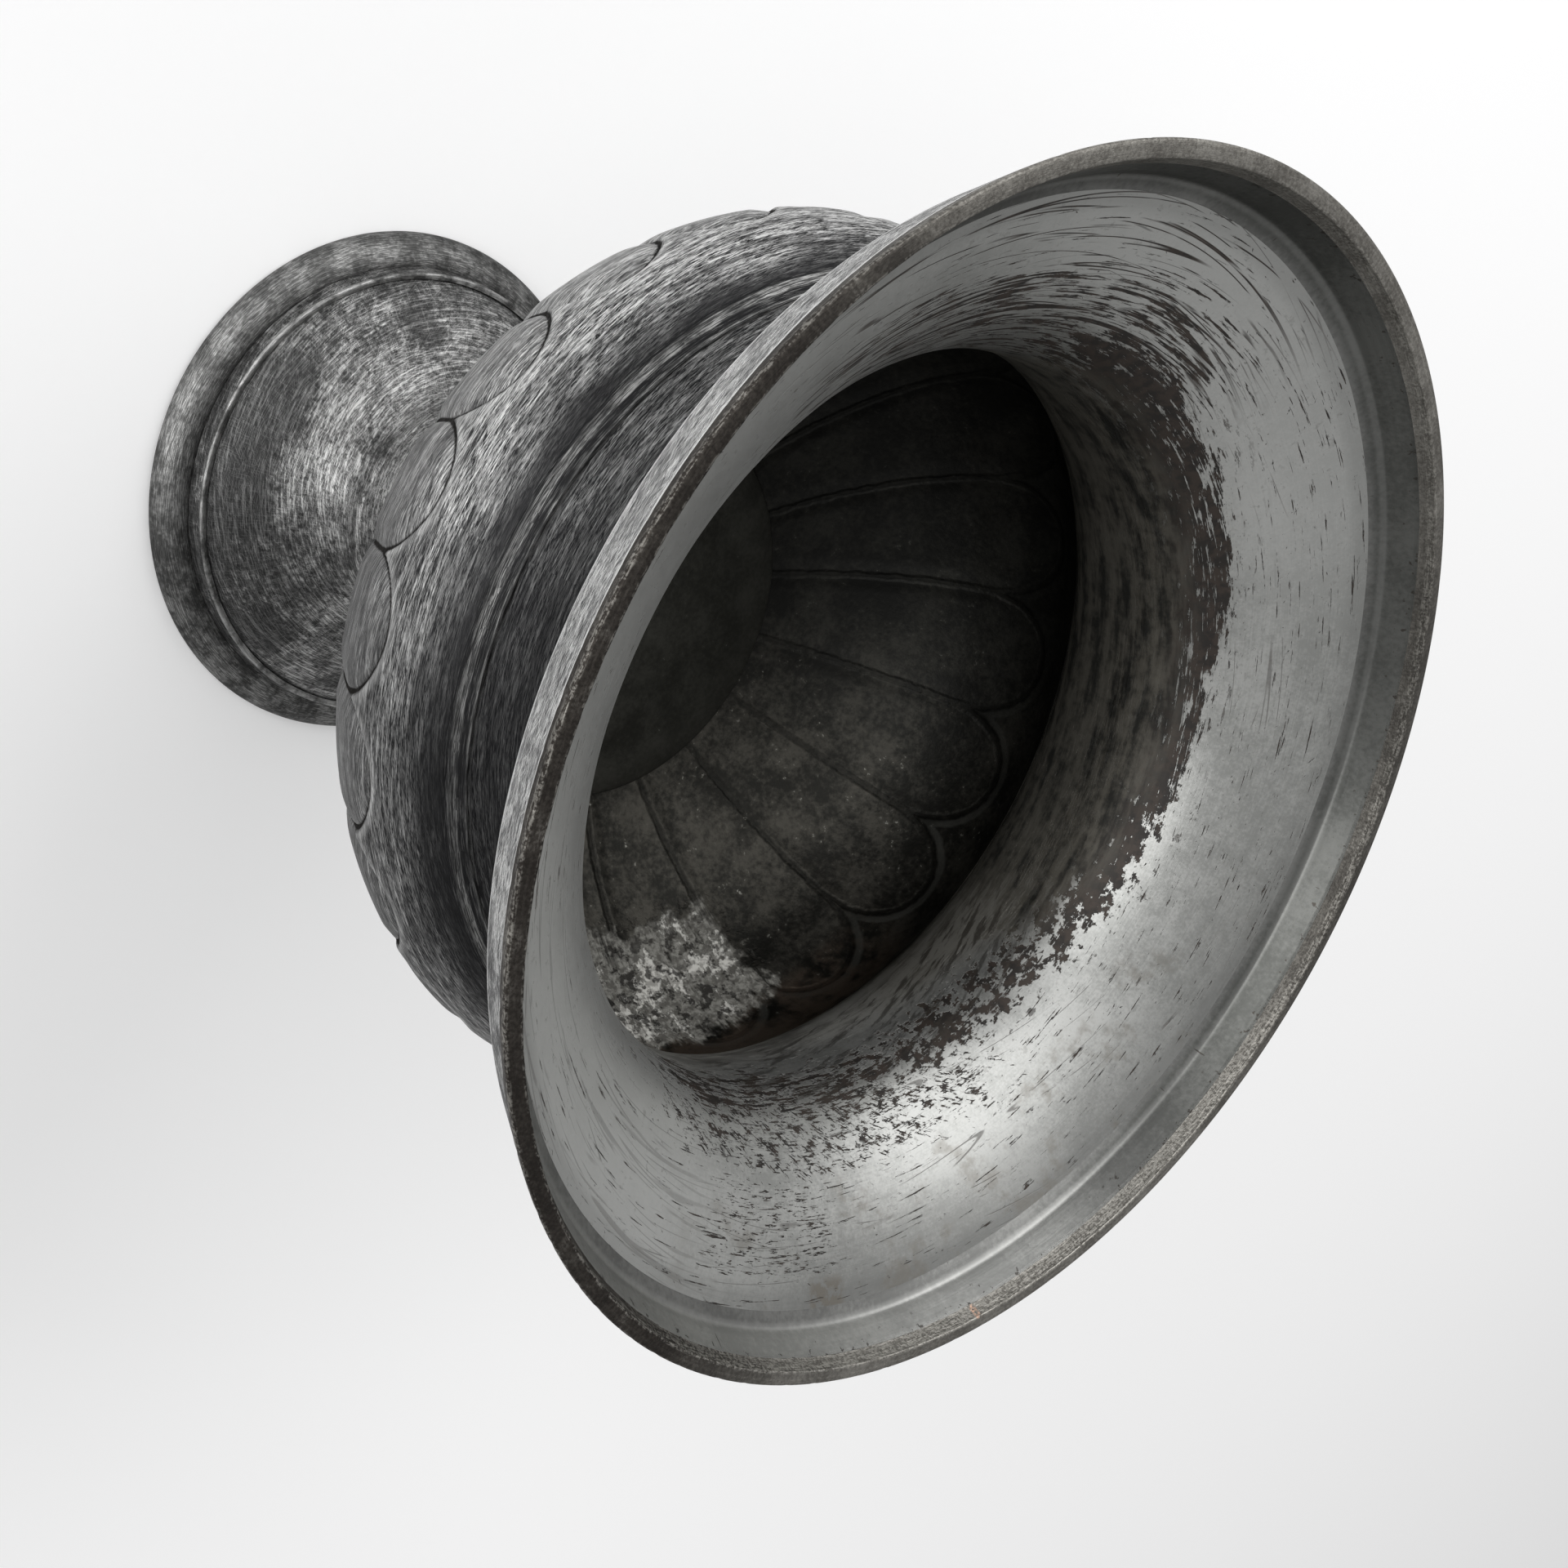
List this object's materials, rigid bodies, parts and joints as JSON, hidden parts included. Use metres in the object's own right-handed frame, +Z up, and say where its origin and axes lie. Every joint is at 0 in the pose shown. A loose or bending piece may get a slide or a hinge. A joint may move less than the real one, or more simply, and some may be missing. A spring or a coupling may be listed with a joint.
{
  "type": "communion chalice",
  "caption": "Wide-mouthed metal chalice with a flared trumpet mouth, a round bowl, a short stem and a hollow trumpet foot.",
  "frame": {"origin": "centre of the foot's underside, on the turning axis, where the chalice stands on a table", "axes": "+Z up along the turning axis, out of the mouth; X and Y are any two directions across it"},
  "size_m": [0.16, 0.16, 0.157],
  "materials": {
    "dark_patina": "dark grey patina with brushed streaks and rubbed edges",
    "tinned_bronze": "worn satin silver-grey tinning with brown patina in the throat",
    "worn_lip": "dark brown patina, rubbed light along the inner edge",
    "stained_floor": "dark mottled stain with pale specks",
    "plain_steel": "plain turned steel"
  },
  "bodies": {
    "root": {"lip_ring": "worn_lip", "collar_band": "dark_patina", "mouth_flare": "tinned_bronze", "neck_band": "dark_patina", "bowl_body": "dark_patina", "bowl_floor_disc": "stained_floor", "tie_bolt": "plain_steel", "stem_collar": "dark_patina", "stem_tube": "dark_patina", "foot_shell": "dark_patina", "foot_bead": "dark_patina", "foot_edge_band": "dark_patina", "clamp_washer": "plain_steel", "clamp_nut": "plain_steel"}
  },
  "joints": []
}
